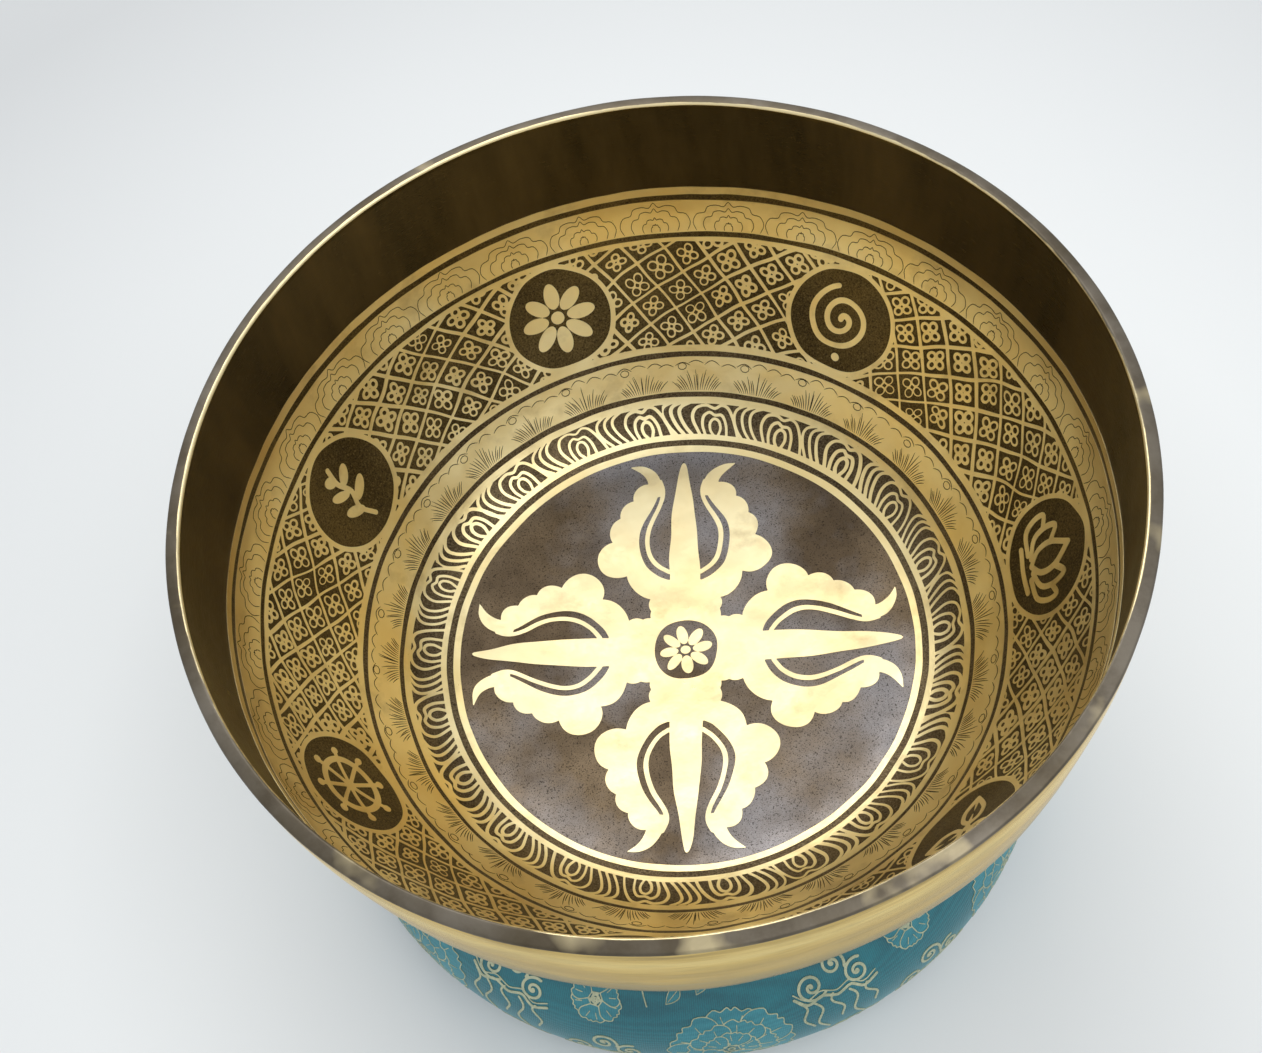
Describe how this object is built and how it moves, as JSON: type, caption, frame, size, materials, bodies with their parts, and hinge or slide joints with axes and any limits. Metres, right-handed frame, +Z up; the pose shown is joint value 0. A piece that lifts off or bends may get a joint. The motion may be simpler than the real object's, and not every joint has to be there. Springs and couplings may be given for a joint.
{
  "type": "singing bowl",
  "caption": "Round hammered metal singing bowl with an etched inside, resting loose on a stuffed brocade ring cushion.",
  "frame": {"origin": "centre of the cushion's flat base, on the surface that the cushion stands on", "axes": "+Z up along the bowl's own axis; +Y towards the side where the cushion's end seam lies"},
  "size_m": [0.3, 0.3, 0.1878],
  "materials": {
    "etched_brass": "hammered, etched inside, dark brown patina with polished raised pattern",
    "silk_brocade": "turquoise satin weave with woven flowers outlined in gold thread",
    "cotton_batting": "loose cotton fibre",
    "sewing_thread": "twisted polyester thread"
  },
  "bodies": {
    "cushion": {"cushion_cover": "silk_brocade", "cushion_filling": "cotton_batting", "ring_seam_thread": "sewing_thread", "end_seam_thread": "sewing_thread"},
    "bowl": {"bowl": "etched_brass"}
  },
  "joints": [
    {"name": "bowl_lift", "type": "slide", "parent": "cushion", "child": "bowl", "axis": [0, 0, 1], "range_m": [0, 0.15]}
  ]
}
